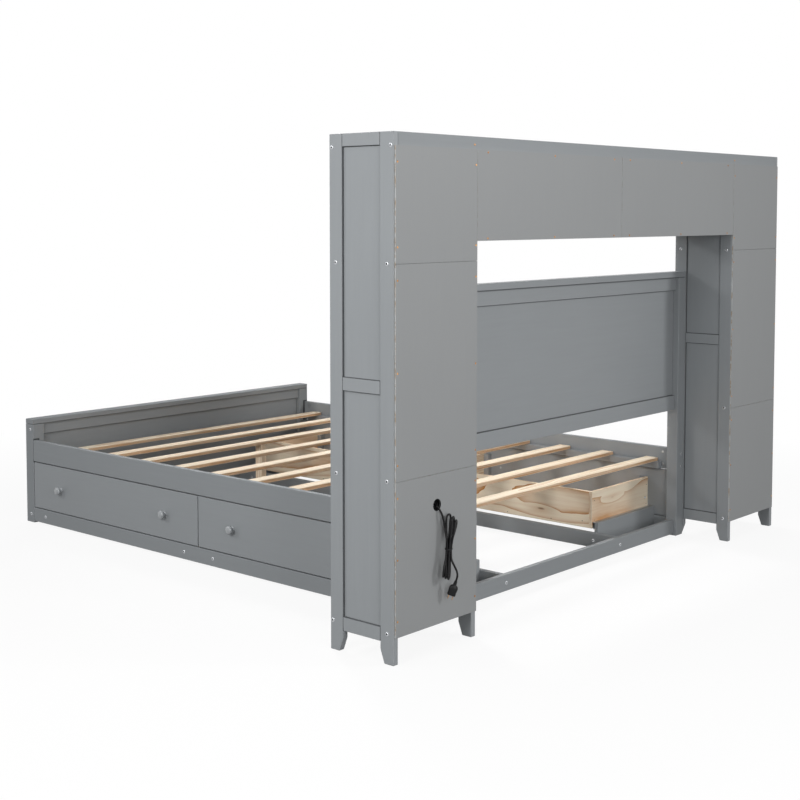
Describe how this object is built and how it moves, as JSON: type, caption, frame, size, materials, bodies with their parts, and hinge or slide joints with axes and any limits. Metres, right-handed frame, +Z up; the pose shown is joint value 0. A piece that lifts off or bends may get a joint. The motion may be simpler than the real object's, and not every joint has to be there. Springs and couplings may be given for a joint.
{
  "type": "storage bed",
  "caption": "Grey painted storage bed with under-bed drawers and a bookcase wall that bridges over its headboard.",
  "frame": {"origin": "centre of the footprint, on the floor", "axes": "+Y from the footboard to the wall, +X to the tower with the outlet, +Z up"},
  "size_m": [2.3192, 2.3971, 1.49],
  "materials": {
    "grey_paint": "satin grey paint",
    "back_board": "grey board with raw edges",
    "pine": "raw sawn pine",
    "zinc_steel": "zinc plated",
    "nail_brass": "dull",
    "black_plastic": "fine matt",
    "lead_jacket": "smooth"
  },
  "bodies": {
    "root": {"left_tower_outer_side": "grey_paint", "left_tower_inner_side": "grey_paint", "left_tower_shelves": "grey_paint", "left_tower_top_board": "grey_paint", "left_tower_back_panels": "back_board", "left_side_rail": "grey_paint", "left_low_rail": "grey_paint", "right_tower_outer_side": "grey_paint", "right_tower_inner_side": "grey_paint", "right_tower_shelves": "grey_paint", "right_tower_top_board": "grey_paint", "right_tower_back_panels": "back_board", "right_side_rail": "grey_paint", "right_low_rail": "grey_paint", "top_front_rail": "grey_paint", "top_back_rail": "grey_paint", "bridge_bottom": "grey_paint", "bridge_top": "grey_paint", "bridge_divider": "grey_paint", "headboard_posts": "grey_paint", "headboard_cap": "grey_paint", "headboard_rails": "grey_paint", "headboard_panel": "grey_paint", "head_stretcher": "grey_paint", "footboard_posts": "grey_paint", "footboard_cap": "grey_paint", "footboard_rails": "grey_paint", "footboard_panel": "grey_paint", "floor_rails": "grey_paint", "drawer_guides": "grey_paint", "slat_ledges": "grey_paint", "bridge_back_panels": "back_board", "slats": "pine", "slat_legs": "pine", "slide_channels": "zinc_steel", "bolts": "zinc_steel", "back_nails": "nail_brass", "plug_blades": "nail_brass", "outlet_housing": "black_plastic", "outlet_plate": "black_plastic", "plug_body": "black_plastic", "lead_upper": "lead_jacket", "lead_hank": "lead_jacket", "lead_tail": "lead_jacket"},
    "left_head_drawer": {"left_head_drawer_front": "grey_paint", "left_head_drawer_box": "pine", "left_head_drawer_runners": "zinc_steel", "left_head_drawer_knobs": "grey_paint"},
    "left_foot_drawer": {"left_foot_drawer_front": "grey_paint", "left_foot_drawer_box": "pine", "left_foot_drawer_runners": "zinc_steel", "left_foot_drawer_knobs": "grey_paint"},
    "right_head_drawer": {"right_head_drawer_front": "grey_paint", "right_head_drawer_box": "pine", "right_head_drawer_runners": "zinc_steel", "right_head_drawer_knobs": "grey_paint"},
    "right_foot_drawer": {"right_foot_drawer_front": "grey_paint", "right_foot_drawer_box": "pine", "right_foot_drawer_runners": "zinc_steel", "right_foot_drawer_knobs": "grey_paint"}
  },
  "joints": [
    {"name": "left_head_drawer_slide", "type": "slide", "parent": "root", "child": "left_head_drawer", "axis": [1, 0, 0], "range_m": [0, 0.3]},
    {"name": "left_foot_drawer_slide", "type": "slide", "parent": "root", "child": "left_foot_drawer", "axis": [1, 0, 0], "range_m": [0, 0.3]},
    {"name": "right_head_drawer_slide", "type": "slide", "parent": "root", "child": "right_head_drawer", "axis": [-1, 0, 0], "range_m": [0, 0.3]},
    {"name": "right_foot_drawer_slide", "type": "slide", "parent": "root", "child": "right_foot_drawer", "axis": [-1, 0, 0], "range_m": [0, 0.3]}
  ]
}
